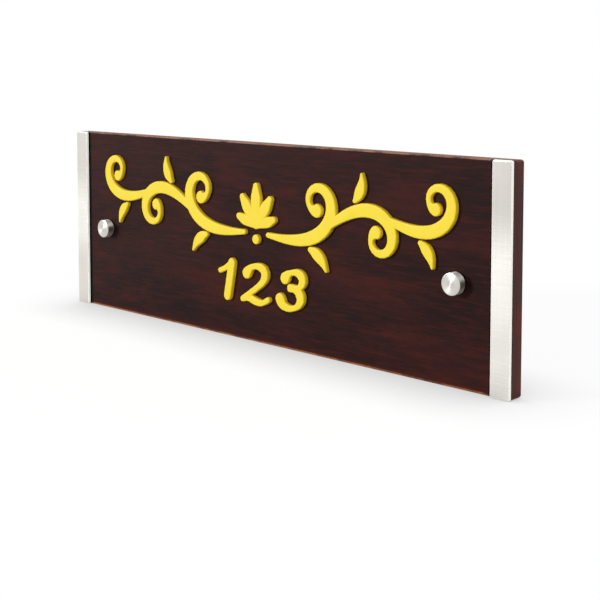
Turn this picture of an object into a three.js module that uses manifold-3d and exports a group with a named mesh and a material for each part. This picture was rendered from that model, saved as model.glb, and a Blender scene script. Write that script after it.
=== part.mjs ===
// Name plate on two stand-off fixings.
// A stained wooden board carries a brushed steel strip at each end, raised scrollwork over a raised
// number, and two turned caps whose studs pass through the board into barrels behind it.
// Millimetres. +X is to the right seen from the front, the front faces -Y and +Z is up.
// The origin is the middle of the board's bottom edge.

import * as THREE from 'three';
import { mergeVertices } from 'three/addons/utils/BufferGeometryUtils.js';
import Module from 'manifold-3d';

const wasm = await Module();
wasm.setup();

// Board
const BOARD_WIDTH = 457.2;
const BOARD_HEIGHT = 152.4;
const BOARD_THICKNESS = 12;
const BOARD_CORNER_RADIUS = 2;
const BOARD_FRONT_ARRIS = 0.8;
const BOARD_BACK_ARRIS = 1.6;

// Steel strip at each end, on double-sided tape
const STRIP_WIDTH = 15;
const STRIP_THICKNESS = 2;
const STRIP_CORNER_RADIUS = 1.5;
const STRIP_ARRIS = 0.8;
const TAPE_THICKNESS = 0.4;
const TAPE_MARGIN = 1;

// Stand-off fixings: M6 threads, each bore a clearance wider in radius than its stud
const STANDOFF_FROM_END = 43;
const STANDOFF_FROM_BOTTOM = 70;
const STUD_DIAMETER = 6;
const STUD_IN_CAP = 3.7;
const STUD_IN_BARREL = 8;
const STUD_CHAMFER = 0.6;
const THREAD_CLEARANCE = 0.3;
const BOARD_HOLE_CLEARANCE = 0.5;
const CAP_DIAMETER = 15;
const CAP_HEIGHT = 6.3;
const CAP_CHAMFER = 0.7;
const CAP_CHAMFER_DEPTH = 0.45;
const CAP_BACK_CHAMFER = 0.3;
const WASHER_DIAMETER = 13;
const WASHER_THICKNESS = 0.8;
const WASHER_BORE_CLEARANCE = 0.4;
const BARREL_DIAMETER = 15;
const BARREL_LENGTH = 15;
const BARREL_CHAMFER = 0.5;

// Raised work: flat-backed strokes with a rounded front edge
const RAISE = 3;
const RAISED_EDGE = 0.8;
const DROP_REACH = 0.8;
const BEND_SHARE = 0.8;
const STATION_CROWDING = 1.3;

// Scrollwork: on each side a stem of linked scrolls, each smaller than the one before
const STEM_START_X = 13;
const STEM_START_Z = 84;
const STEM_START_HEADING = -6;
const SCROLLS_PER_SIDE = 3;
const SCROLL_LENGTH = 126;
const SCROLL_START_RADIUS = 250;
const SCROLL_EYE_RADIUS = 6.75;
const SCROLL_START_WIDTH = 4;
const SCROLL_SWELL_WIDTH = 10.6;
const SCROLL_SWELL_POWER = 0.87;
const SCROLL_SWELL_SHARPNESS = 1.4;
const SCROLL_NECK_WIDTH = 3.6;
const SCROLL_DROP = 10.4;
const SCROLL_BRANCH_AT = [0.44, 0.5];
const SCROLL_SHRINK = 0.945;

// Leaves: one beside each scroll, on its outer side
const LEAF_AT = 0.33;
const LEAF_GAP = 1.2;
const LEAF_LENGTH = 21.5;
const LEAF_WIDTH = 9.2;
const LEAF_BASE = 3.4;
const LEAF_TIP = 2;
const LEAF_ANGLE = 32;
const LEAF_BEND = 0.9;
const LEAF_BELLY = 0.4;

// Palmette in the middle, with a bead under it
const PALMETTE_Z = 89;
const PALMETTE_BASE = 3.4;
const PALMETTE_TIP = 4.6;
const PALMETTE_BELLY = 0.66;
const PALMETTE_PETALS = [
  { heading: 90, length: 31, width: 11 },
  { heading: 56, length: 26.5, width: 10 },
  { heading: 124, length: 26.5, width: 10 },
  { heading: 20, length: 20, width: 8.6 },
  { heading: 160, length: 20, width: 8.6 },
];
const BEAD_DIAMETER = 7.5;
const BEAD_Z = 79.5;

// Number: slanted figures drawn with a broad pen
const NUMBER_HEIGHT = 35;
const NUMBER_EM = 46;
const NUMBER_Z = 28;
const NUMBER_CENTRE_X = 5;
const NUMBER_GAP = 6;
const PEN_THICK = 8.4;
const PEN_THIN = 4.2;
const PEN_CONTRAST = 1.3;
const PEN_ANGLE = 20;
const PEN_DROP = 9.2;
const NUMBER_SLANT = 10;

// Facets
const ROUND_STEPS = 32;
const CORNER_STEPS = 5;
const ARRIS_STEPS = 3;
const EDGE_STEPS = 2;
const END_STEPS = 6;
const SCROLL_STATIONS = 34;
const LEAF_STATIONS = 8;
const FIGURE_STATIONS = 22;
const TRACE_SUBSTEPS = 10;
const LEAST_RADIUS = 0.02;
const WELD_DISTANCE = 1e-5;

// Places that follow from the sizes above
const BOARD_FRONT = -BOARD_THICKNESS / 2;
const BOARD_BACK = BOARD_THICKNESS / 2;
const STANDOFF_X = BOARD_WIDTH / 2 - STANDOFF_FROM_END;
const STUD_RADIUS = STUD_DIAMETER / 2;
const THREAD_RADIUS = STUD_RADIUS + THREAD_CLEARANCE;
const CAP_SEAT = BOARD_FRONT - WASHER_THICKNESS;
const BARREL_FRONT = BOARD_BACK + WASHER_THICKNESS;
const SIDES = [
  { name: 'left', sign: -1 },
  { name: 'right', sign: 1 },
];

const radians = THREE.MathUtils.degToRad;

// Turns a piece drawn in XY and raised along +Z so that it stands in XZ and is raised towards -Y.
const FACE_FRONT = new THREE.Matrix4().makeBasis(
  new THREE.Vector3(1, 0, 0),
  new THREE.Vector3(0, 0, 1),
  new THREE.Vector3(0, -1, 0),
);

const material = (color, roughness, metalness) =>
  new THREE.MeshStandardMaterial({ color, roughness, metalness });
const stainedWood = () => material(0x3c282a, 0.42, 0);
const brushedSteel = () => material(0xd8d6d0, 0.34, 1);
const turnedSteel = () => material(0xc9c8c4, 0.26, 1);
const threadedSteel = () => material(0xa9a9a8, 0.38, 1);
const yellowAcrylic = () => material(0xffe13c, 0.38, 0);
const clearNylon = () => material(0xe4e4de, 0.5, 0);
const foamTape = () => material(0xd9d9d5, 0.9, 0);

// Shared vertices are joined and triangles without area are left out.
function weld(geometry) {
  const bare = geometry.clone();
  bare.deleteAttribute('normal');
  bare.deleteAttribute('uv');
  const merged = mergeVertices(bare, WELD_DISTANCE);
  const kept = [];
  for (let i = 0; i < merged.index.count; i += 3) {
    const [a, b, c] = [0, 1, 2].map((k) => merged.index.getX(i + k));
    if (a !== b && b !== c && c !== a) kept.push(a, b, c);
  }
  merged.setIndex(kept);
  return merged;
}

function toSolid(geometry) {
  const welded = weld(geometry);
  const vertProperties = new Float32Array(welded.attributes.position.array);
  const triVerts = new Uint32Array(welded.index.array);
  return new wasm.Manifold(new wasm.Mesh({ numProp: 3, vertProperties, triVerts }));
}

function toGeometry(solid) {
  const mesh = solid.getMesh();
  const geometry = new THREE.BufferGeometry();
  geometry.setAttribute('position', new THREE.BufferAttribute(mesh.vertProperties, 3));
  geometry.setIndex(new THREE.BufferAttribute(mesh.triVerts, 1));
  return geometry;
}

function join(geometries) {
  return toGeometry(geometries.map(toSolid).reduce((all, next) => all.add(next)));
}

function cut(geometry, cutters) {
  const uncut = toSolid(geometry);
  return toGeometry(cutters.map(toSolid).reduce((left, cutter) => left.subtract(cutter), uncut));
}

// Layers of a slab, from its back to its front. An edge with a radius is rounded over.
function slabLayers(thickness, backRadius, frontRadius, steps) {
  const rounded = (radius) =>
    Array.from({ length: radius > 0 ? steps + 1 : 1 }, (_, i) => {
      const angle = (Math.PI / 2) * (i / steps);
      return { depth: radius * (1 - Math.cos(angle)), inset: radius * (1 - Math.sin(angle)) };
    });
  const front = rounded(frontRadius).map(({ depth, inset }) => ({ depth: thickness - depth, inset }));
  return [...rounded(backRadius), ...front.reverse()];
}

// A slab with the outline that outlineAt gives for each layer's inset, facing the front.
function slab(outlineAt, layers) {
  const rings = layers.map(({ depth, inset }) => outlineAt(inset).map((p) => [p.x, p.y, depth]));
  const count = rings[0].length;
  const index = [];
  for (let k = 0; k + 1 < rings.length; k++) {
    for (let i = 0; i < count; i++) {
      const next = (i + 1) % count;
      const [a, b] = [k * count + i, k * count + next];
      index.push(a, b, b + count, a, b + count, a + count);
    }
  }
  const backFace = THREE.ShapeUtils.triangulateShape(outlineAt(layers[0].inset), []);
  const frontFace = THREE.ShapeUtils.triangulateShape(outlineAt(layers.at(-1).inset), []);
  const last = (rings.length - 1) * count;
  for (const [a, b, c] of backFace) index.push(a, c, b);
  for (const [a, b, c] of frontFace) index.push(last + a, last + b, last + c);
  const geometry = new THREE.BufferGeometry();
  geometry.setAttribute('position', new THREE.Float32BufferAttribute(rings.flat(2), 3));
  geometry.setIndex(index);
  return geometry.applyMatrix4(FACE_FRONT);
}

// The outline of a rectangle with round corners, as a function of its inset.
function rectangle(x0, x1, z0, z1, radius) {
  return (inset) => {
    const r = Math.max(radius - inset, LEAST_RADIUS);
    const corners = [
      [x1 - inset - r, z0 + inset + r, -90],
      [x1 - inset - r, z1 - inset - r, 0],
      [x0 + inset + r, z1 - inset - r, 90],
      [x0 + inset + r, z0 + inset + r, 180],
    ];
    return corners.flatMap(([cx, cz, from]) =>
      Array.from({ length: CORNER_STEPS + 1 }, (_, i) => {
        const angle = radians(from + (90 * i) / CORNER_STEPS);
        return new THREE.Vector2(cx + r * Math.cos(angle), cz + r * Math.sin(angle));
      }),
    );
  };
}

// A turned piece: the profile's points are [radius, y], and the axis is Y.
function turned(profile) {
  const points = profile.map(([radius, y]) => new THREE.Vector2(radius, y));
  return weld(new THREE.LatheGeometry(points, ROUND_STEPS));
}

// A turned tube from y0 to y1, with its outer edges chamfered.
function tube(inner, outer, y0, y1, chamfer) {
  return turned([
    [inner, y0],
    [outer - chamfer, y0],
    [outer, y0 + chamfer],
    [outer, y1 - chamfer],
    [outer - chamfer, y1],
    [inner, y1],
    [inner, y0],
  ]);
}

// The outline of a stroke, as a function of its inset. Each station has a place, a heading and a
// width, and both ends close in a half round.
function strokeOutline(stations) {
  const onArc = ({ x, z, width }, angle) =>
    new THREE.Vector2(x + (width / 2) * Math.cos(angle), z + (width / 2) * Math.sin(angle));
  const right = stations.map((s) => onArc(s, s.heading - Math.PI / 2));
  const left = stations.map((s) => onArc(s, s.heading + Math.PI / 2)).reverse();
  const endArc = (station, from) =>
    Array.from({ length: END_STEPS - 1 }, (_, i) =>
      onArc(station, from + (Math.PI * (i + 1)) / END_STEPS),
    );
  const first = stations[0];
  const last = stations.at(-1);
  const outline = [
    ...right,
    ...endArc(last, last.heading - Math.PI / 2),
    ...left,
    ...endArc(first, first.heading + Math.PI / 2),
  ];
  const directions = outline.map((p, i) => outline[(i + 1) % outline.length].clone().sub(p).normalize());
  const inward = directions.map((after, i) => {
    const along = directions.at(i - 1).clone().add(after).normalize();
    return new THREE.Vector2(-along.y, along.x);
  });
  return (inset) => outline.map((p, i) => p.clone().addScaledVector(inward[i], inset));
}

// A stroke is no wider than its bends allow, so its inner side never folds over itself, and the
// widths are then evened out from each station to the next.
function fitToBends(stations) {
  const near = (i) => [stations[Math.max(i - 1, 0)], stations[Math.min(i + 1, stations.length - 1)]];
  const widths = stations.map(({ width }, i) => {
    const [before, after] = near(i);
    const turn = Math.abs(Math.sin((after.heading - before.heading) / 2)) * 2;
    const run = Math.hypot(after.x - before.x, after.z - before.z);
    return turn > 0 ? Math.min(width, (2 * BEND_SHARE * run) / turn) : width;
  });
  return stations.map((station, i) => {
    const before = widths[Math.max(i - 1, 0)];
    const after = widths[Math.min(i + 1, widths.length - 1)];
    return { ...station, width: (before + 2 * widths[i] + after) / 4 };
  });
}

function stroke(stations) {
  return slab(strokeOutline(fitToBends(stations)), slabLayers(RAISE, 0, RAISED_EDGE, EDGE_STEPS));
}

// Stations along a path that starts at a place and heading and bends as curvatureAt says.
function trace({ x, z, heading }, length, fractions, curvatureAt, widthAt) {
  const stations = [];
  let at = 0;
  for (const fraction of fractions) {
    const step = (fraction - at) / TRACE_SUBSTEPS;
    for (let i = 0; i < TRACE_SUBSTEPS; i++) {
      const turn = curvatureAt(at + step / 2) * step * length;
      heading += turn / 2;
      x += Math.cos(heading) * step * length;
      z += Math.sin(heading) * step * length;
      heading += turn / 2;
      at += step;
    }
    stations.push({ x, z, heading, width: widthAt(fraction) });
  }
  return stations;
}

// A drop at one end of a stroke: how far the stroke has widened towards it, from 0 to 1.
function dropShare(diameter, distance) {
  const reach = DROP_REACH * diameter;
  return distance < reach ? Math.cos((Math.PI / 2) * (distance / reach)) ** 2 : 0;
}

// One scroll: it starts nearly straight, swells, and winds up round an eye that ends in a drop.
// The side it curls to is +1 or -1.
function scroll(start, curl, size) {
  const length = SCROLL_LENGTH * size;
  const startCurve = 1 / (SCROLL_START_RADIUS * size);
  const eyeCurve = 1 / (SCROLL_EYE_RADIUS * size);
  const curvatureAt = (u) => curl * (startCurve + (eyeCurve - startCurve) * u ** 2);
  const widthAt = (u) => {
    const plain = THREE.MathUtils.lerp(SCROLL_START_WIDTH, SCROLL_NECK_WIDTH, u);
    const swell = Math.max(Math.sin(Math.PI * u ** SCROLL_SWELL_POWER), 0) ** SCROLL_SWELL_SHARPNESS;
    const body = plain + (SCROLL_SWELL_WIDTH - plain) * swell;
    const drop = dropShare(SCROLL_DROP, (1 - u) * SCROLL_LENGTH);
    return size * THREE.MathUtils.lerp(body, SCROLL_DROP, drop);
  };
  const fractions = Array.from(
    { length: SCROLL_STATIONS + 1 },
    (_, i) => 1 - (1 - i / SCROLL_STATIONS) ** STATION_CROWDING,
  );
  const along = (places) => trace(start, length, places, curvatureAt, widthAt);
  return { stations: along(fractions), at: (u) => along([u])[0] };
}

// A leaf or petal: round at both ends, and fullest at its belly, a share of the way along it.
function leaf(start, { length, width, base, tip, belly, bend }) {
  const bellyPower = Math.log(0.5) / Math.log(belly);
  const plainAt = (u) => THREE.MathUtils.lerp(base, tip, u);
  const widthAt = (u) => {
    const fullness = Math.max(Math.sin(Math.PI * u ** bellyPower), 0);
    return plainAt(u) + (width - plainAt(belly)) * fullness;
  };
  const fractions = Array.from({ length: LEAF_STATIONS + 1 }, (_, i) => i / LEAF_STATIONS);
  return stroke(trace(start, length, fractions, () => bend / length, widthAt));
}

// The scrolls of the right-hand side, each branching off the one before and curling the other way.
function stemScrolls() {
  const scrolls = [];
  let start = { x: STEM_START_X, z: STEM_START_Z, heading: radians(STEM_START_HEADING) };
  for (let i = 0; i < SCROLLS_PER_SIDE; i++) {
    const curl = i % 2 === 0 ? 1 : -1;
    const size = SCROLL_SHRINK ** i;
    const made = scroll(start, curl, size);
    scrolls.push({ ...made, curl, size });
    start = made.at(SCROLL_BRANCH_AT[Math.min(i, SCROLL_BRANCH_AT.length - 1)]);
  }
  return scrolls;
}

// The leaf beside a scroll, on its outer side and clear of it.
function leafBeside({ at, curl, size }) {
  const stem = at(LEAF_AT);
  const outward = stem.heading - (curl * Math.PI) / 2;
  const clear = stem.width / 2 + LEAF_GAP + (LEAF_BASE * size) / 2;
  const start = {
    x: stem.x + clear * Math.cos(outward),
    z: stem.z + clear * Math.sin(outward),
    heading: stem.heading - curl * radians(LEAF_ANGLE),
  };
  return leaf(start, {
    length: LEAF_LENGTH * size,
    width: LEAF_WIDTH * size,
    base: LEAF_BASE * size,
    tip: LEAF_TIP * size,
    belly: LEAF_BELLY,
    bend: -curl * LEAF_BEND,
  });
}

// The mirror image of a piece in the plane X = 0.
function mirrored(geometry) {
  const copy = geometry.clone().scale(-1, 1, 1);
  const index = Array.from(copy.index.array);
  for (let i = 0; i < index.length; i += 3) [index[i], index[i + 1]] = [index[i + 1], index[i]];
  copy.setIndex(index);
  return copy;
}

// The middle lines of the figures are smooth curves through a few points: across in units of the
// number's em, up in units of its height.
const FIGURES = {
  1: [
    { points: [[0.07, 0.66], [0.21, 0.75], [0.32, 0.87]] },
    { points: [[0.33, 0.87], [0.33, 0.62], [0.325, 0.36], [0.32, 0.12]] },
  ],
  2: [
    {
      points: [
        [0.16, 0.7], [0.25, 0.84], [0.4, 0.885], [0.55, 0.82], [0.59, 0.67], [0.5, 0.48], [0.14, 0.12],
      ],
      drop: true,
    },
    { points: [[0.14, 0.12], [0.3, 0.155], [0.47, 0.105], [0.61, 0.1], [0.73, 0.19]] },
  ],
  3: [
    {
      points: [
        [0.19, 0.73], [0.27, 0.845], [0.4, 0.89], [0.52, 0.85],
        [0.585, 0.735], [0.55, 0.605], [0.45, 0.54], [0.33, 0.52],
      ],
      drop: true,
    },
    {
      points: [
        [0.14, 0.27], [0.225, 0.15], [0.38, 0.1], [0.53, 0.16],
        [0.595, 0.32], [0.535, 0.47], [0.43, 0.535], [0.33, 0.55],
      ],
      drop: true,
    },
  ],
};

function figureStations({ points, drop }) {
  const curve = new THREE.SplineCurve(
    points.map(([x, z]) => {
      const height = z * NUMBER_HEIGHT;
      return new THREE.Vector2(x * NUMBER_EM + height * Math.tan(radians(NUMBER_SLANT)), height);
    }),
  );
  const length = curve.getLength();
  return Array.from({ length: FIGURE_STATIONS + 1 }, (_, i) => {
    const u = i / FIGURE_STATIONS;
    const place = curve.getPointAt(u);
    const heading = curve.getTangentAt(u).angle();
    const pen = Math.abs(Math.sin(heading - radians(PEN_ANGLE))) ** PEN_CONTRAST;
    const width = PEN_THIN + (PEN_THICK - PEN_THIN) * pen;
    return {
      x: place.x,
      z: place.y,
      heading,
      width: drop ? THREE.MathUtils.lerp(width, PEN_DROP, dropShare(PEN_DROP, u * length)) : width,
    };
  });
}

const plate = new THREE.Group();

function add(name, geometry, finish, x, y, z) {
  const mesh = new THREE.Mesh(geometry, finish);
  mesh.name = name;
  mesh.position.set(x, y, z);
  plate.add(mesh);
}

function addBoard() {
  const outline = rectangle(-BOARD_WIDTH / 2, BOARD_WIDTH / 2, 0, BOARD_HEIGHT, BOARD_CORNER_RADIUS);
  const layers = slabLayers(BOARD_THICKNESS, BOARD_BACK_ARRIS, BOARD_FRONT_ARRIS, ARRIS_STEPS);
  const blank = slab(outline, layers).translate(0, BOARD_BACK, 0);
  const holes = SIDES.map(({ sign }) => {
    const radius = STUD_RADIUS + BOARD_HOLE_CLEARANCE;
    const drill = new THREE.CylinderGeometry(radius, radius, 2 * BOARD_THICKNESS, ROUND_STEPS);
    return drill.translate(sign * STANDOFF_X, 0, STANDOFF_FROM_BOTTOM);
  });
  add('board', cut(blank, holes), stainedWood(), 0, 0, 0);
}

// The strip's outer side is flush with the board's end, and the tape is hidden behind it.
function addEndStrip({ name, sign }) {
  const centre = sign * (BOARD_WIDTH / 2 - STRIP_WIDTH / 2);
  const half = STRIP_WIDTH / 2;
  const face = rectangle(-half, half, 0, BOARD_HEIGHT, STRIP_CORNER_RADIUS);
  const strip = slab(face, slabLayers(STRIP_THICKNESS, 0, STRIP_ARRIS, EDGE_STEPS));
  const reach = half - TAPE_MARGIN;
  const bandTop = BOARD_HEIGHT - TAPE_MARGIN;
  const band = rectangle(-reach, reach, TAPE_MARGIN, bandTop, STRIP_CORNER_RADIUS);
  const tape = slab(band, slabLayers(TAPE_THICKNESS, 0, 0, EDGE_STEPS));
  add(`${name}_end_strip`, strip, brushedSteel(), centre, BOARD_FRONT - TAPE_THICKNESS, 0);
  add(`${name}_strip_tape`, tape, foamTape(), centre, BOARD_FRONT, 0);
}

// The cap's blind thread holds the stud, which runs on through the board into the barrel.
function addStandoff({ name, sign }) {
  const capRadius = CAP_DIAMETER / 2;
  const place = [sign * STANDOFF_X, 0, STANDOFF_FROM_BOTTOM];
  const front = CAP_SEAT - CAP_HEIGHT;
  const threadEnd = CAP_SEAT - STUD_IN_CAP - THREAD_CLEARANCE;
  const cap = turned([
    [0, front],
    [capRadius - CAP_CHAMFER, front],
    [capRadius, front + CAP_CHAMFER_DEPTH],
    [capRadius, CAP_SEAT - CAP_BACK_CHAMFER],
    [capRadius - CAP_BACK_CHAMFER, CAP_SEAT],
    [THREAD_RADIUS, CAP_SEAT],
    [THREAD_RADIUS, threadEnd],
    [0, threadEnd],
  ]);
  const studFront = CAP_SEAT - STUD_IN_CAP;
  const studBack = BARREL_FRONT + STUD_IN_BARREL;
  const stud = turned([
    [0, studFront],
    [STUD_RADIUS - STUD_CHAMFER, studFront],
    [STUD_RADIUS, studFront + STUD_CHAMFER],
    [STUD_RADIUS, studBack - STUD_CHAMFER],
    [STUD_RADIUS - STUD_CHAMFER, studBack],
    [0, studBack],
  ]);
  const washerBore = STUD_RADIUS + WASHER_BORE_CLEARANCE;
  const washer = (y) => tube(washerBore, WASHER_DIAMETER / 2, y, y + WASHER_THICKNESS, 0);
  const barrelBack = BARREL_FRONT + BARREL_LENGTH;
  const barrel = tube(THREAD_RADIUS, BARREL_DIAMETER / 2, BARREL_FRONT, barrelBack, BARREL_CHAMFER);
  add(`${name}_cap`, cap, turnedSteel(), ...place);
  add(`${name}_cap_stud`, stud, threadedSteel(), ...place);
  add(`${name}_front_washer`, washer(CAP_SEAT), clearNylon(), ...place);
  add(`${name}_back_washer`, washer(BOARD_BACK), clearNylon(), ...place);
  add(`${name}_barrel`, barrel, turnedSteel(), ...place);
}

function addScrollwork() {
  const scrolls = stemScrolls();
  const stem = join(scrolls.map(({ stations }) => stroke(stations)));
  const leaves = scrolls.map(leafBeside);
  for (const { name, sign } of SIDES) {
    const onSide = (piece) => (sign < 0 ? mirrored(piece) : piece);
    add(`${name}_scroll_stem`, onSide(stem), yellowAcrylic(), 0, BOARD_FRONT, 0);
    leaves.forEach((piece, i) => {
      add(`${name}_leaf_${i + 1}`, onSide(piece), yellowAcrylic(), 0, BOARD_FRONT, 0);
    });
  }
  const petals = PALMETTE_PETALS.map(({ heading, length, width }) => {
    const start = { x: 0, z: PALMETTE_Z, heading: radians(heading) };
    const ends = { base: PALMETTE_BASE, tip: PALMETTE_TIP };
    return leaf(start, { length, width, ...ends, belly: PALMETTE_BELLY, bend: 0 });
  });
  add('palmette', join(petals), yellowAcrylic(), 0, BOARD_FRONT, 0);
  const beadLayers = slabLayers(RAISE, 0, RAISED_EDGE, EDGE_STEPS).reverse();
  const beadRim = beadLayers.map(({ depth, inset }) => [BEAD_DIAMETER / 2 - inset, -depth]);
  const bead = turned([[0, -RAISE], ...beadRim, [0, 0]]);
  add('bead', bead, yellowAcrylic(), 0, BOARD_FRONT, BEAD_Z);
}

// The figures stand side by side, and the number as a whole is centred on its own place.
function addNumber() {
  const pieces = Object.entries(FIGURES).map(([figure, strokes]) => {
    const geometry = join(strokes.map((line) => stroke(figureStations(line))));
    geometry.computeBoundingBox();
    return { figure, geometry, low: geometry.boundingBox.min.x, high: geometry.boundingBox.max.x };
  });
  const widths = pieces.map(({ low, high }) => high - low);
  const total = widths.reduce((sum, width) => sum + width) + NUMBER_GAP * (pieces.length - 1);
  let x = NUMBER_CENTRE_X - total / 2;
  pieces.forEach(({ figure, geometry, low }, i) => {
    add(`figure_${figure}`, geometry, yellowAcrylic(), x - low, BOARD_FRONT, NUMBER_Z);
    x += widths[i] + NUMBER_GAP;
  });
}

addBoard();
SIDES.forEach(addEndStrip);
SIDES.forEach(addStandoff);
addScrollwork();
addNumber();

export default plate;
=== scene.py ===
"""Looks of the name plate: camera, light, materials, and the threads of its two stand-offs."""

import math

import bpy
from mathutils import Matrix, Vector


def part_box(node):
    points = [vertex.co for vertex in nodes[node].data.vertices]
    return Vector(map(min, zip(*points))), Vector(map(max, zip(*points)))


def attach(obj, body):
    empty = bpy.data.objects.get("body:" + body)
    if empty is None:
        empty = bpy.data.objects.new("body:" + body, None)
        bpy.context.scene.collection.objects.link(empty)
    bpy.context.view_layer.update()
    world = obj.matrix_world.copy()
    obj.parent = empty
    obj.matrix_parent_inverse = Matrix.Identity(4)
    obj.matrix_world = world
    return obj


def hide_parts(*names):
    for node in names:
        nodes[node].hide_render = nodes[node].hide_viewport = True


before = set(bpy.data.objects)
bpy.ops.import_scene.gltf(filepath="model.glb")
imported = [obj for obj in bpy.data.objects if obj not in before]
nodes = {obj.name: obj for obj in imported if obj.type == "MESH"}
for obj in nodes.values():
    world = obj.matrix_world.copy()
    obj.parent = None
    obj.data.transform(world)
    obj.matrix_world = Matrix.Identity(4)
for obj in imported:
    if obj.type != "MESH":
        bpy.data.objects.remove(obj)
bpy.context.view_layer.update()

# Places of the CAD pieces: x of the right strip's inner edge, and the height of both caps' axes
STRIP_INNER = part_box("right_end_strip")[0].x
STANDOFF_Z = (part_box("left_cap")[0].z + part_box("left_cap")[1].z) / 2

MM = 0.001

# Camera, from the photograph's corners of the board: metres, degrees, and the lens and film in mm
CAMERA_PLACE = (0.6380, -0.6243, 0.2128)
CAMERA_YAW = 43.85
CAMERA_PITCH = 4.22
CAMERA_LENS = 70.76
CAMERA_SENSOR = 36.0
CAMERA_SHIFT_Y = -0.25
CAMERA_NEAR = 0.01

# Light: the level of the sky, and for each sun its direction, strength and spread in degrees
SKY_LEVEL = 0.28
KEY_SUN = {"toward": (-0.62, -0.76, 0.2), "strength": 2.0, "spread": 12}
FILL_SUN = {"toward": (0.6, -0.45, 0.66), "strength": 0.72, "spread": 16}

# Floor: half its width, how far below the part it lies, and how pale it is
FLOOR_HALF = 12.0
FLOOR_DROP = 0.1 * MM
FLOOR_TONE = 0.9

# Floor where it is seen: how pale it is under the lights, and how much it glows
FLOOR_SEEN_TONE = 0.2
FLOOR_GLOW = 0.89

# Soft shadow where the part stands on the floor
CONTACT_REACH = 72 * MM
CONTACT_DEPTH = 0.6
CONTACT_SAMPLES = 8

# Shading: edges that bend less than this many degrees are smooth, and points this near are one
SOFT_EDGE = 50
WELD_REACH = 0.001 * MM

# Threads: M6 coarse, with the degrees from which their edges stay sharp
THREAD_PITCH = 1.0 * MM
THREAD_DEPTH = 0.55 * MM
THREAD_SIDES = 32
THREAD_STEPS = 6
THREAD_SHARP = 60

# Barrel's bore, and how far its thread keeps from the stud and the wall end, and off its wall
BARREL_BORE = 6.6 * MM
BORE_THREAD_GAP = 0.3 * MM
BORE_WALL_GAP = 0.02 * MM

# Turning marks: degrees by which they stray from true circles, and how many make a metre
TURNED_SLANT = -22
RING_CELLS = 3800

# Brushed strips: height of their painted highlight, and how far from it that starts and stops
# to fade; heights where the lower painted reflection tone ends and the upper one starts; and
# the same along x, from the left strip's painted tones to the right one's
STRIP_HIGHLIGHT_HEIGHT = 80 * MM
STRIP_HIGHLIGHT_FADE = (4 * MM, 46 * MM)
STRIP_UPPER = (60 * MM, 110 * MM)
STRIP_RIGHT = (-100 * MM, 100 * MM)

# Painted shadow, a dark line on the board beside each strip: how far it is solid, and where it
# ends
SHADOW_LINE_LEFT = (3.0 * MM, 3.5 * MM)
SHADOW_LINE_RIGHT = (2.0 * MM, 2.4 * MM)

# Board, by height: where the redness of its foot fades, where its bare foot ends, where bare
# wood changes from its lower colour to its upper one, partly a painted highlight, and where
# the pale top edge starts, which is worn wood and partly a painted highlight
FOOT_RED = (0.5 * MM, 7 * MM)
FOOT_BARE = (0.9 * MM, 1.9 * MM)
BARE_CHANGE = (70 * MM, 80 * MM)
CROWN_PALE = (151.2 * MM, 151.8 * MM)

# How squarely a face must look along an axis to count as an end or a top, and how much paler
# wood it then shows, which on the top is a painted sheen
FACE_SQUARE = (0.6, 0.95)
FACE_SHARE = 0.75

# Raised work: y up to which it has its front's colour, and from which its sides' deeper one,
# partly painted shade
RAISED_FRONT = (-8.3 * MM, -6.2 * MM)

# Nearly all noise lies between these
NOISE_SPAN = (0.3, 0.7)

# Colours as they look under plain white light, sRGB
WOOD_DARK = (31, 16, 17)
WOOD_MID = (43, 21, 21)
WOOD_RED = (80, 32, 24)
WOOD_RUBBED = (164, 104, 62)
WOOD_END = (103, 71, 69)
WOOD_END_RED = (134, 72, 56)
# Painted sheen on the board's top face
WOOD_TOP_SHEEN = (150, 104, 92)
# Worn wood high up and on the top edge, partly a painted highlight
WOOD_CROWN_WEAR_AND_HIGHLIGHT = (172, 124, 100)
# Painted shadow beside the strips
WOOD_SHADOW_LINE = (4, 3, 3)
# Painted reflection tones of the strips, low and high on each side, and their painted highlight
STRIP_LEFT_LOW_REFLECTION = (224, 220, 213)
STRIP_LEFT_HIGH_REFLECTION = (221, 217, 211)
STRIP_RIGHT_LOW_REFLECTION = (240, 236, 229)
STRIP_RIGHT_HIGH_REFLECTION = (207, 203, 197)
STRIP_HIGHLIGHT_TONE = (255, 253, 247)
STRIP_DULL_LOW = (204, 201, 195)
STRIP_DULL_HIGH = (172, 168, 161)
STRIP_PATCH = (210, 207, 200)
# Painted highlight on the strips' edges and side walls
STRIP_EDGE_HIGHLIGHT = (243, 241, 237)
TURNED_DARK = (192, 190, 184)
TURNED_PALE = (216, 213, 206)
# Painted reflection round the turned sides
SIDE_REFLECTION_MIDDLE = (128, 122, 113)
SIDE_REFLECTION_UNDER = (196, 190, 180)
SIDE_REFLECTION_TOP = (255, 253, 248)
SIDE_GROOVE = (120, 114, 106)
THREAD_DARK = (156, 156, 155)
THREAD_PALE = (188, 188, 186)
YELLOW = (250, 224, 50)
YELLOW_DEEP_AND_SHADE = (246, 198, 16)
NYLON_DARK = (214, 214, 208)
NYLON_PALE = (226, 226, 220)
TAPE_DARK = (196, 196, 190)
TAPE_PALE = (214, 214, 208)

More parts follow.
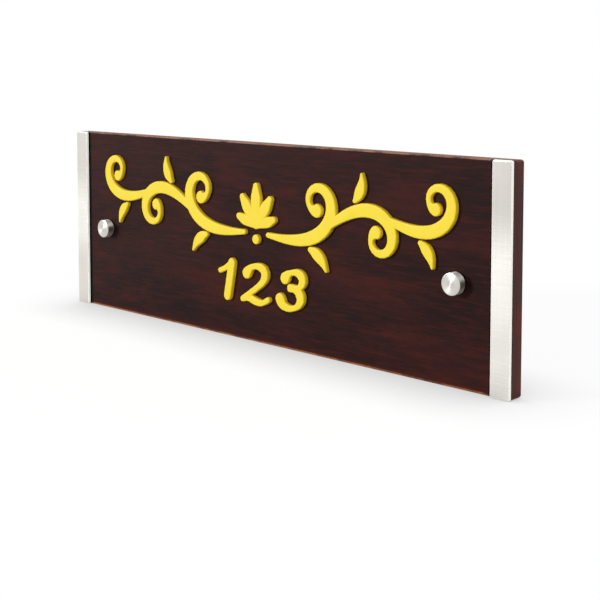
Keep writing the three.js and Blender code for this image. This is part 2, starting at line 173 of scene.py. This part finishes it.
# Noise patterns. Their cells are how many make a metre along x, y and z
CLOUDS = {"cells": (8, 30, 24), "detail": 4, "distortion": 0.6}
STREAKS = {"cells": (26, 190, 300), "detail": 5, "roughness": 0.65, "distortion": 0.3}
WISPS = {
    "cells": (60, 560, 620),
    "offset": (5, 3, 2),
    "detail": 4,
    "roughness": 0.6,
    "distortion": 0.2,
}
PORES = {"cells": (220, 2400, 2400), "offset": (3, 1, 2), "detail": 1}
BLUSH = {
    "cells": (11, 50, 40),
    "offset": (3, 1, 7),
    "detail": 5,
    "roughness": 0.6,
    "distortion": 0.5,
}
MOTTLE = {
    "cells": (20, 60, 34),
    "offset": (6, 2, 5),
    "detail": 4,
    "roughness": 0.6,
    "distortion": 0.4,
}
END_LINES = {"cells": (20, 1300, 22), "offset": (1, 4, 2), "detail": 3, "roughness": 0.6}
WEAR = {"cells": (38, 60, 60), "offset": (7, 2, 4), "detail": 5, "roughness": 0.7}
BRUSHING = {"cells": (60, 60, 5200), "detail": 2, "roughness": 0.6}
ROLLING = {"cells": (420, 60, 7), "offset": (4, 1, 3), "detail": 2}
PATCHES = {"cells": (30, 30, 60), "offset": (2, 5, 1), "detail": 2}
GROOVES = {"cells": (40, 1500, 40), "detail": 2, "roughness": 0.6}
FINE_SKIN = {"cells": (900, 900, 900), "detail": 3}
YELLOW_CLOUD = {"cells": (60, 60, 60), "detail": 2}
NYLON_CLOUD = {"cells": (400, 400, 400), "detail": 3}
FOAM = {"cells": (1600, 1600, 1600), "detail": 2}


def linear(colour):
    """An sRGB colour of 0 to 255 as the linear RGBA that shaders take."""
    def channel(value):
        value /= 255
        return value / 12.92 if value <= 0.04045 else ((value + 0.055) / 1.055) ** 2.4
    return (*map(channel, colour), 1.0)


class Nodes:
    """A material's node tree, with one short call for each kind of node."""

    def __init__(self, name):
        self.material = bpy.data.materials.new(name)
        self.material.use_nodes = True
        self.tree = self.material.node_tree
        self.tree.nodes.clear()
        self.shader = self.tree.nodes.new("ShaderNodeBsdfPrincipled")
        output = self.tree.nodes.new("ShaderNodeOutputMaterial")
        self.tree.links.new(self.shader.outputs[0], output.inputs["Surface"])
        self.place = self.tree.nodes.new("ShaderNodeTexCoord").outputs["Object"]

    def put(self, value, socket):
        if isinstance(value, bpy.types.NodeSocket):
            self.tree.links.new(value, socket)
        else:
            socket.default_value = value

    def set(self, **values):
        """Sets the shader's inputs: base_color= is its input "Base Color"."""
        for name, value in values.items():
            matches = [s for s in self.shader.inputs if s.name.lower() == name.replace("_", " ")]
            self.put(value, matches[0])

    def noise_at(self, vector, detail=3.0, roughness=0.55, distortion=0.0):
        node = self.tree.nodes.new("ShaderNodeTexNoise")
        self.put(vector, node.inputs["Vector"])
        node.inputs["Scale"].default_value = 1.0
        node.inputs["Detail"].default_value = detail
        node.inputs["Roughness"].default_value = roughness
        node.inputs["Distortion"].default_value = distortion
        return node.outputs[0]

    def noise(self, cells, offset=(0, 0, 0), **character):
        """Noise over the piece, with so many cells to the metre along x, y and z."""
        node = self.tree.nodes.new("ShaderNodeMapping")
        self.put(self.place, node.inputs["Vector"])
        node.inputs["Scale"].default_value = cells
        node.inputs["Location"].default_value = offset
        return self.noise_at(node.outputs[0], **character)

    def math(self, operation, a, b=0.0):
        node = self.tree.nodes.new("ShaderNodeMath")
        node.operation = operation
        self.put(a, node.inputs[0])
        self.put(b, node.inputs[1])
        return node.outputs[0]

    def ranged(self, value, low, high, to_low=0.0, to_high=1.0):
        """value from low to high becomes to_low to to_high, smoothly and no further."""
        node = self.tree.nodes.new("ShaderNodeMapRange")
        node.interpolation_type = "SMOOTHSTEP"
        for given, name in (
            (value, "Value"),
            (low, "From Min"),
            (high, "From Max"),
            (to_low, "To Min"),
            (to_high, "To Max"),
        ):
            self.put(given, node.inputs[name])
        return node.outputs[0]

    def mix(self, share, a, b):
        """Colour a with a share of b over it, each of them a socket or an sRGB colour."""
        node = self.tree.nodes.new("ShaderNodeMix")
        node.data_type = "RGBA"
        self.put(share, node.inputs[0])
        for colour, socket in ((a, node.inputs[6]), (b, node.inputs[7])):
            self.put(linear(colour) if isinstance(colour, tuple) else colour, socket)
        return node.outputs[2]

    def split(self, vector):
        node = self.tree.nodes.new("ShaderNodeSeparateXYZ")
        self.put(vector, node.inputs[0])
        return node.outputs

    def combine(self, x=0.0, y=0.0, z=0.0):
        node = self.tree.nodes.new("ShaderNodeCombineXYZ")
        for value, socket in zip((x, y, z), node.inputs):
            self.put(value, socket)
        return node.outputs[0]

    def normal(self):
        return self.tree.nodes.new("ShaderNodeNewGeometry").outputs["Normal"]

    def lean(self, amount):
        """The surface's normal leaned towards the front, -Y, by amount."""
        leaned = self.tree.nodes.new("ShaderNodeVectorMath")
        leaned.operation = "ADD"
        self.put(self.normal(), leaned.inputs[0])
        self.put(self.combine(y=self.math("MULTIPLY", amount, -1.0)), leaned.inputs[1])
        unit = self.tree.nodes.new("ShaderNodeVectorMath")
        unit.operation = "NORMALIZE"
        self.put(leaned.outputs[0], unit.inputs[0])
        return unit.outputs[0]

    def bump(self, height, strength, distance, normal=None):
        node = self.tree.nodes.new("ShaderNodeBump")
        if normal is not None:
            self.put(normal, node.inputs["Normal"])
        self.put(height, node.inputs["Height"])
        node.inputs["Strength"].default_value = strength
        node.inputs["Distance"].default_value = distance
        self.set(normal=node.outputs[0])


def wood_grain(n, streaks, wisps, pores):
    """The stained wood's own tone, dark with redder clouds, streaks and wisps."""
    clouds = n.noise(**CLOUDS)
    tone = n.mix(n.ranged(clouds, 0.36, 0.64), WOOD_DARK, WOOD_MID)
    warm = n.ranged(clouds, 0.3, 0.62, 0.35, 1)
    tone = n.mix(n.math("MULTIPLY", n.ranged(streaks, 0.4, 0.8, 0, 0.44), warm), tone, WOOD_RED)
    tone = n.mix(n.ranged(wisps, 0.45, 0.75, 0, 0.38), tone, WOOD_RED)
    tone = n.mix(n.ranged(n.noise(**BLUSH), 0.48, 0.7, 0, 0.45), tone, WOOD_RED)
    return n.mix(n.ranged(pores, 0.58, 0.72, 0, 0.45), tone, WOOD_DARK)


def wood_ends_and_top_sheen(n, tone, along, upward):
    """Paler wood on the end faces, mottled and lined with red, and a painted sheen on the top."""
    ends = n.mix(n.ranged(n.noise(**MOTTLE), 0.45, 0.66), WOOD_END, WOOD_END_RED)
    ends = n.mix(n.ranged(n.noise(**END_LINES), 0.42, 0.7, 0, 0.5), ends, WOOD_RED)
    for square, paler in ((along, ends), (upward, WOOD_TOP_SHEEN)):
        share = n.math("MULTIPLY", n.ranged(square, *FACE_SQUARE), FACE_SHARE)
        tone = n.mix(share, tone, paler)
    return tone


def wood_wear_and_highlight(n, tone, flattest, frontward):
    """Redder wood near the foot, and bare wood in patches on arrises, top edge and foot; high up
    it is partly a painted highlight.
    """
    height = n.split(n.place)[2]
    wear = n.noise(**WEAR)
    tone = n.mix(n.ranged(height, *FOOT_RED, 0.35, 0), tone, WOOD_RED)
    arrises = n.ranged(flattest, 0.9, 0.995, 1, 0)
    arrises = n.math("MULTIPLY", arrises, n.ranged(wear, 0.42, 0.68, 0, 0.5))
    # The top edge: worn wood and partly a painted highlight
    crown = n.math("MULTIPLY", n.ranged(height, *CROWN_PALE), n.ranged(frontward, -0.1, -0.4))
    crown = n.math("MULTIPLY", crown, n.ranged(wear, 0.36, 0.58, 0.15, 0.95))
    foot = n.ranged(height, *FOOT_BARE, 1, 0)
    foot = n.math("MULTIPLY", foot, n.ranged(wear, 0.34, 0.58, 0.15, 1))
    worn = n.math("MAXIMUM", n.math("MAXIMUM", arrises, crown), foot)
    return n.mix(worn, tone, n.mix(n.ranged(height, *BARE_CHANGE), WOOD_RUBBED, WOOD_CROWN_WEAR_AND_HIGHLIGHT))


def painted_shadow_lines(n, tone, frontward):
    """The painted shadow beside each strip, a dark line on the board's front."""
    x = n.split(n.place)[0]
    solid, end = SHADOW_LINE_LEFT
    left = n.ranged(x, solid - STRIP_INNER, end - STRIP_INNER, 1, 0)
    solid, end = SHADOW_LINE_RIGHT
    right = n.ranged(x, STRIP_INNER - end, STRIP_INNER - solid)
    beside = n.math("MULTIPLY", n.math("MAXIMUM", left, right), n.ranged(frontward, -0.5, -0.9))
    return n.mix(beside, tone, WOOD_SHADOW_LINE)


def stained_wood():
    """Straight-grained wood under a dark red-brown stain, rubbed through along its arrises."""
    n = Nodes("stained_wood")
    streaks, wisps, pores = n.noise(**STREAKS), n.noise(**WISPS), n.noise(**PORES)
    facing = n.split(n.normal())
    along, across, up = (n.math("ABSOLUTE", facing[i]) for i in range(3))
    flattest = n.math("MAXIMUM", along, n.math("MAXIMUM", across, up))
    tone = wood_grain(n, streaks, wisps, pores)
    tone = wood_ends_and_top_sheen(n, tone, along, facing[2])
    tone = wood_wear_and_highlight(n, tone, flattest, facing[1])
    n.set(base_color=painted_shadow_lines(n, tone, facing[1]), specular_ior_level=0.05)
    n.set(roughness=n.ranged(streaks, *NOISE_SPAN, 0.4, 0.5))
    n.bump(n.math("ADD", wisps, n.math("MULTIPLY", pores, 0.6)), 0.25, 0.05 * MM)
    return n.material


def brushed_steel():
    """Sheet steel brushed across the strip, with fine duller lines.

    Its tones by height and by strip are a painted reflection, with a painted highlight half way
    up and on its edges.
    """
    n = Nodes("brushed_steel")
    x, _, height = n.split(n.place)
    upper = n.ranged(height, *STRIP_UPPER)
    left = n.mix(upper, STRIP_LEFT_LOW_REFLECTION, STRIP_LEFT_HIGH_REFLECTION)
    right = n.mix(upper, STRIP_RIGHT_LOW_REFLECTION, STRIP_RIGHT_HIGH_REFLECTION)
    # Painted reflection: tones that differ by height and between the left and right strip
    shade = n.mix(n.ranged(x, *STRIP_RIGHT), left, right)
    off_middle = n.math("ABSOLUTE", n.math("SUBTRACT", height, STRIP_HIGHLIGHT_HEIGHT))
    # Painted highlight half way up the strips
    shade = n.mix(n.ranged(off_middle, *STRIP_HIGHLIGHT_FADE, 1, 0), shade, STRIP_HIGHLIGHT_TONE)
    dull = n.mix(upper, STRIP_DULL_LOW, STRIP_DULL_HIGH)
    lines = n.noise(**BRUSHING)
    shade = n.mix(n.ranged(lines, *NOISE_SPAN, 0, 0.3), shade, dull)
    shade = n.mix(n.ranged(n.noise(**ROLLING), 0.4, 0.7, 0, 0.09), shade, dull)
    shade = n.mix(n.ranged(n.noise(**PATCHES), 0.35, 0.65, 0, 0.2), shade, STRIP_PATCH)
    sideward, frontward, _ = n.split(n.normal())
    # Painted highlight: a paler colour on the strips' edges and side walls
    edge = n.ranged(n.math("ABSOLUTE", frontward), 0.75, 0.98, 1, 0)
    n.set(base_color=n.mix(edge, shade, STRIP_EDGE_HIGHLIGHT), metallic=1.0, anisotropic=0.2)
    rough = n.ranged(lines, *NOISE_SPAN, 0.15, 0.19)
    n.set(roughness=n.math("ADD", rough, n.math("MULTIPLY", edge, 0.55)))
    n.set(tangent=n.combine(z=1.0))
    n.bump(lines, 0.05, 0.01 * MM, n.lean(n.math("ABSOLUTE", sideward)))
    return n.material


def turned_side_reflection(n, up, radius):
    """A turned side's painted reflection: dark in the middle, paler below, bright on top; and
    grooved.
    """
    rise = n.math("DIVIDE", up, radius)
    side = n.mix(n.ranged(rise, -0.1, -0.55), SIDE_REFLECTION_MIDDLE, SIDE_REFLECTION_UNDER)
    side = n.mix(n.ranged(rise, 0.1, 0.6), side, SIDE_REFLECTION_TOP)
    return n.mix(n.ranged(n.noise(**GROOVES), 0.35, 0.65, 0, 0.3), side, SIDE_GROOVE)


def turned_tangent(n, outward):
    """The brushing's direction from the direction outward, slanted so that bright wedges lean."""
    slanted = n.tree.nodes.new("ShaderNodeVectorRotate")
    slanted.rotation_type = "Y_AXIS"
    slanted.inputs["Angle"].default_value = math.radians(TURNED_SLANT)
    n.put(outward, slanted.inputs["Vector"])
    turning = n.tree.nodes.new("ShaderNodeVectorTransform")
    turning.vector_type = "VECTOR"
    turning.convert_from = "OBJECT"
    turning.convert_to = "WORLD"
    n.put(slanted.outputs[0], turning.inputs[0])
    return turning.outputs[0]


def turned_steel(axis_x):
    """Turned steel: rings round the stand-off's axis on its faces, and lines and a painted
    reflection round its side.
    """
    n = Nodes(f"turned_steel_{'right' if axis_x > 0 else 'left'}")
    x, y, z = n.split(n.place)
    across = n.math("SUBTRACT", x, axis_x)
    up = n.math("SUBTRACT", z, STANDOFF_Z)
    squares = (n.math("MULTIPLY", value, value) for value in (across, up))
    radius = n.math("SQRT", n.math("ADD", *squares))
    ring_place = n.combine(*(n.math("MULTIPLY", value, RING_CELLS) for value in (radius, y)))
    rings = n.noise_at(ring_place, detail=2, roughness=0.6)
    face = n.mix(n.ranged(rings, *NOISE_SPAN), TURNED_DARK, TURNED_PALE)
    on_side = n.ranged(n.math("ABSOLUTE", n.split(n.normal())[1]), 0.3, 0.8, 1, 0)
    shade = n.mix(on_side, face, turned_side_reflection(n, up, radius))
    n.set(base_color=shade, metallic=1.0, anisotropic=0.7)
    rough = n.ranged(rings, *NOISE_SPAN, 0.22, 0.28)
    n.set(roughness=n.math("ADD", rough, n.math("MULTIPLY", on_side, 0.26)))
    n.set(tangent=turned_tangent(n, n.combine(across, on_side, up)))
    n.bump(rings, 0.12, 0.01 * MM)
    return n.material


def threaded_steel():
    """Plain screw steel, duller than the turned steel and the same all round."""
    n = Nodes("threaded_steel")
    marks = n.noise(**FINE_SKIN)
    n.set(base_color=n.mix(n.ranged(marks, *NOISE_SPAN), THREAD_DARK, THREAD_PALE))
    n.set(metallic=1.0, roughness=n.ranged(marks, *NOISE_SPAN, 0.28, 0.44))
    return n.material


def yellow_acrylic():
    """Opaque yellow, a little deeper on its cut sides, partly painted shade, with a fine skin."""
    n = Nodes("yellow_acrylic")
    skin = n.noise(**FINE_SKIN)
    front = n.ranged(n.split(n.place)[1], *RAISED_FRONT, 1, 0)
    # Deeper on the sides, partly painted shade
    body = n.mix(front, YELLOW_DEEP_AND_SHADE, YELLOW)
    cloudy = n.ranged(n.noise(**YELLOW_CLOUD), 0.35, 0.65, 0, 0.12)
    n.set(base_color=n.mix(cloudy, body, YELLOW_DEEP_AND_SHADE), specular_ior_level=0.3)
    n.set(roughness=n.ranged(skin, *NOISE_SPAN, 0.42, 0.55))
    n.bump(skin, 0.15, 0.02 * MM)
    return n.material


def clear_nylon():
    """Milky nylon, faintly cloudy."""
    n = Nodes("clear_nylon")
    cloud = n.noise(**NYLON_CLOUD)
    n.set(base_color=n.mix(n.ranged(cloud, *NOISE_SPAN), NYLON_DARK, NYLON_PALE))
    n.set(roughness=n.ranged(cloud, *NOISE_SPAN, 0.4, 0.55))
    return n.material


def foam_tape():
    """The cut edge of foam tape, matt and full of small cells."""
    n = Nodes("foam_tape")
    foam = n.noise(**FOAM)
    n.set(base_color=n.mix(n.ranged(foam, *NOISE_SPAN), TAPE_DARK, TAPE_PALE), roughness=0.9)
    n.bump(foam, 0.4, 0.05 * MM)
    return n.material


def smooth_shading(limit):
    """A node group that smooths the shading across every edge that bends less than limit."""
    group = bpy.data.node_groups.new("smooth_below_limit", "GeometryNodeTree")
    group.interface.new_socket("Geometry", in_out="INPUT", socket_type="NodeSocketGeometry")
    group.interface.new_socket("Geometry", in_out="OUTPUT", socket_type="NodeSocketGeometry")
    into = group.nodes.new("NodeGroupInput")
    out = group.nodes.new("NodeGroupOutput")
    plain = group.nodes.new("GeometryNodeRemoveAttribute")
    plain.inputs["Name"].default_value = "custom_normal"
    faces = group.nodes.new("GeometryNodeSetShadeSmooth")
    faces.domain = "FACE"
    edges = group.nodes.new("GeometryNodeSetShadeSmooth")
    edges.domain = "EDGE"
    angle = group.nodes.new("GeometryNodeInputMeshEdgeAngle")
    below = group.nodes.new("FunctionNodeCompare")
    below.operation = "LESS_THAN"
    below.inputs["B"].default_value = limit
    group.links.new(angle.outputs["Unsigned Angle"], below.inputs["A"])
    group.links.new(into.outputs[0], plain.inputs["Geometry"])
    group.links.new(plain.outputs[0], faces.inputs["Geometry"])
    group.links.new(faces.outputs[0], edges.inputs["Geometry"])
    group.links.new(below.outputs[0], edges.inputs["Shade Smooth"])
    group.links.new(edges.outputs[0], out.inputs[0])
    return group


def finish_node(node, material, smoothing):
    """Gives a CAD node its material and its smooth shading. Its mesh stays as it is."""
    node.data.materials.clear()
    node.data.materials.append(material)
    weld = node.modifiers.new("weld", "WELD")
    weld.merge_threshold = WELD_REACH
    shade = node.modifiers.new("shade", "NODES")
    shade.node_group = smoothing
    weighted = node.modifiers.new("weighted", "WEIGHTED_NORMAL")
    weighted.keep_sharp = True


def helix_rows(length, plain, ridge):
    """Rings along a thread's axis, each as (place along it, radius at every side), cut as a helix.

    The thread runs out over one pitch at each end, where only the plain radius is left."""
    count = round(length / THREAD_PITCH * THREAD_STEPS)
    for i in range(count + 1):
        along = length * i / count
        lead = min(along, length - along) / THREAD_PITCH
        radii = []
        for k in range(THREAD_SIDES):
            phase = along / THREAD_PITCH + k / THREAD_SIDES
            cut = (1 - math.cos(2 * math.pi * phase)) / 2
            radii.append(plain + (ridge - plain) * min(cut, lead))
        yield along, radii


def thread(name, axis_x, start, end, plain, ridge):
    """A thread along y from start to end, between the radii plain and ridge.

    Where ridge is the larger one it is a closed rod, and else the wall of a bore."""
    outside = ridge > plain
    vertices, faces = [], []
    rows = list(helix_rows(end - start, plain, ridge))
    for along, radii in rows:
        for k, radius in enumerate(radii):
            angle = 2 * math.pi * k / THREAD_SIDES
            x = axis_x + radius * math.cos(angle)
            z = STANDOFF_Z + radius * math.sin(angle)
            vertices.append((x, start + along, z))
    for row in range(len(rows) - 1):
        for k in range(THREAD_SIDES):
            a = row * THREAD_SIDES + k
            b = row * THREAD_SIDES + (k + 1) % THREAD_SIDES
            corners = (a, a + THREAD_SIDES, b + THREAD_SIDES, b)
            faces.append(corners if outside else corners[::-1])
    if outside:
        last = (len(rows) - 1) * THREAD_SIDES
        faces.append(tuple(range(THREAD_SIDES)))
        faces.append(tuple(last + k for k in reversed(range(THREAD_SIDES))))
    mesh = bpy.data.meshes.new(name)
    mesh.from_pydata(vertices, [], faces)
    mesh.validate()
    mesh.shade_smooth()
    mesh.set_sharp_from_angle(angle=math.radians(THREAD_SHARP))
    piece = bpy.data.objects.new(name, mesh)
    bpy.context.scene.collection.objects.link(piece)
    return piece


def add_stud_thread(side, material):
    """The stud with its real thread, in the place of the CAD's plain one."""
    node = f"{side}_cap_stud"
    low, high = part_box(node)
    middle = (low.x + high.x) / 2
    crest = (high.x - low.x) / 2
    piece = thread(f"{side}_stud_thread", middle, low.y, high.y, crest - THREAD_DEPTH, crest)
    piece.data.materials.append(material)
    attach(piece, f"{side}_screw_cap")
    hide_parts(node)


def add_barrel_thread(side, material):
    """The thread in the barrel's bore, seen from the wall end, past where the stud ends."""
    low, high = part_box(f"{side}_barrel")
    middle = (low.x + high.x) / 2
    stud_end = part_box(f"{side}_cap_stud")[1].y
    start, end = stud_end + BORE_THREAD_GAP, high.y - BORE_THREAD_GAP
    wall = BARREL_BORE / 2 - BORE_WALL_GAP
    piece = thread(f"{side}_bore_thread", middle, start, end, wall, wall - THREAD_DEPTH)
    piece.data.materials.append(material)
    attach(piece, "plate")


def sun(name, toward, strength, spread):
    """Light from the direction toward, as soft as spread degrees of sky make it."""
    data = bpy.data.lights.new(name, "SUN")
    data.energy = strength
    data.angle = math.radians(spread)
    light = bpy.data.objects.new(name, data)
    light.rotation_euler = (-Vector(toward)).to_track_quat("-Z", "Y").to_euler()
    bpy.context.scene.collection.objects.link(light)


def add_camera():
    """The photograph's view of the plate."""
    data = bpy.data.cameras.new("camera")
    data.lens = CAMERA_LENS
    data.sensor_width = CAMERA_SENSOR
    data.shift_y = CAMERA_SHIFT_Y
    data.clip_start = CAMERA_NEAR
    camera = bpy.data.objects.new("camera", data)
    camera.location = CAMERA_PLACE
    camera.rotation_euler = (math.radians(90 - CAMERA_PITCH), 0, math.radians(CAMERA_YAW))
    bpy.context.scene.collection.objects.link(camera)
    bpy.context.scene.camera = camera


def seen_rays(tree):
    """1 where the camera sees the surface, also in metal or through glass, and otherwise 0."""
    path = tree.nodes.new("ShaderNodeLightPath")
    seen = path.outputs["Is Camera Ray"]
    for ray in ("Is Glossy Ray", "Is Transmission Ray"):
        either = tree.nodes.new("ShaderNodeMath")
        either.operation = "MAXIMUM"
        tree.links.new(seen, either.inputs[0])
        tree.links.new(path.outputs[ray], either.inputs[1])
        seen = either.outputs[0]
    return seen


def add_world():
    """White where the camera, metal and glass see it, and a plain level of light elsewhere."""
    world = bpy.data.worlds.new("studio")
    world.use_nodes = True
    tree = world.node_tree
    background = tree.nodes["Background"]
    background.inputs["Color"].default_value = (1, 1, 1, 1)
    strength = tree.nodes.new("ShaderNodeMapRange")
    strength.inputs["To Min"].default_value = SKY_LEVEL
    strength.inputs["To Max"].default_value = 1.0
    tree.links.new(seen_rays(tree), strength.inputs["Value"])
    tree.links.new(strength.outputs[0], background.inputs["Strength"])
    bpy.context.scene.world = world


def open_sky(tree):
    """1 in the open, and down to 1 - CONTACT_DEPTH close to the part, which hides some sky."""
    occlusion = tree.nodes.new("ShaderNodeAmbientOcclusion")
    occlusion.samples = CONTACT_SAMPLES
    occlusion.inputs["Distance"].default_value = CONTACT_REACH
    dim = tree.nodes.new("ShaderNodeMapRange")
    dim.inputs["To Min"].default_value = 1 - CONTACT_DEPTH
    tree.links.new(occlusion.outputs["AO"], dim.inputs["Value"])
    return dim.outputs[0]


def floor_material():
    """A pale floor. Where it is seen, its glow brings it up to white around a paler shadow.

    Close to the part less of the sky reaches the floor, so that both dim there."""
    material = bpy.data.materials.new("floor")
    material.use_nodes = True
    tree = material.node_tree
    tree.nodes.clear()
    plain = tree.nodes.new("ShaderNodeBsdfDiffuse")
    plain.inputs["Color"].default_value = (FLOOR_TONE, FLOOR_TONE, FLOOR_TONE, 1)
    sky = open_sky(tree)
    paler = tree.nodes.new("ShaderNodeBsdfDiffuse")
    white = tree.nodes.new("ShaderNodeEmission")
    for level, socket in (
        (FLOOR_SEEN_TONE, paler.inputs["Color"]),
        (FLOOR_GLOW, white.inputs["Strength"]),
    ):
        dimmed = tree.nodes.new("ShaderNodeMath")
        dimmed.operation = "MULTIPLY"
        dimmed.inputs[0].default_value = level
        tree.links.new(sky, dimmed.inputs[1])
        tree.links.new(dimmed.outputs[0], socket)
    both = tree.nodes.new("ShaderNodeAddShader")
    tree.links.new(paler.outputs[0], both.inputs[0])
    tree.links.new(white.outputs[0], both.inputs[1])
    choose = tree.nodes.new("ShaderNodeMixShader")
    tree.links.new(seen_rays(tree), choose.inputs[0])
    tree.links.new(plain.outputs[0], choose.inputs[1])
    tree.links.new(both.outputs[0], choose.inputs[2])
    output = tree.nodes.new("ShaderNodeOutputMaterial")
    tree.links.new(choose.outputs[0], output.inputs["Surface"])
    return material


def add_floor():
    """One wide square under the part, just clear of its foot."""
    mesh = bpy.data.meshes.new("floor")
    corners = [(-1, -1), (1, -1), (1, 1), (-1, 1)]
    vertices = [(x * FLOOR_HALF, y * FLOOR_HALF, -FLOOR_DROP) for x, y in corners]
    mesh.from_pydata(vertices, [], [(0, 1, 2, 3)])
    mesh.materials.append(floor_material())
    floor = bpy.data.objects.new("floor", mesh)
    bpy.context.scene.collection.objects.link(floor)


add_camera()
add_world()
add_floor()
sun("key", **KEY_SUN)
sun("fill", **FILL_SUN)

soft_edges = smooth_shading(math.radians(SOFT_EDGE))
wood, strip_steel, yellow = stained_wood(), brushed_steel(), yellow_acrylic()
nylon, tape, stud_steel = clear_nylon(), foam_tape(), threaded_steel()
finish_node(nodes["board"], wood, soft_edges)
for side in ("left", "right"):
    low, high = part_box(f"{side}_cap")
    turned = turned_steel((low.x + high.x) / 2)
    for part, material in (
        ("end_strip", strip_steel),
        ("strip_tape", tape),
        ("cap", turned),
        ("barrel", turned),
        ("front_washer", nylon),
        ("back_washer", nylon),
    ):
        finish_node(nodes[f"{side}_{part}"], material, soft_edges)
    add_stud_thread(side, stud_steel)
    add_barrel_thread(side, stud_steel)
for name, node in nodes.items():
    if any(part in name for part in ("scroll_stem", "leaf", "palmette", "bead", "figure")):
        finish_node(node, yellow, soft_edges)

bpy.context.scene.view_settings.view_transform = "Standard"
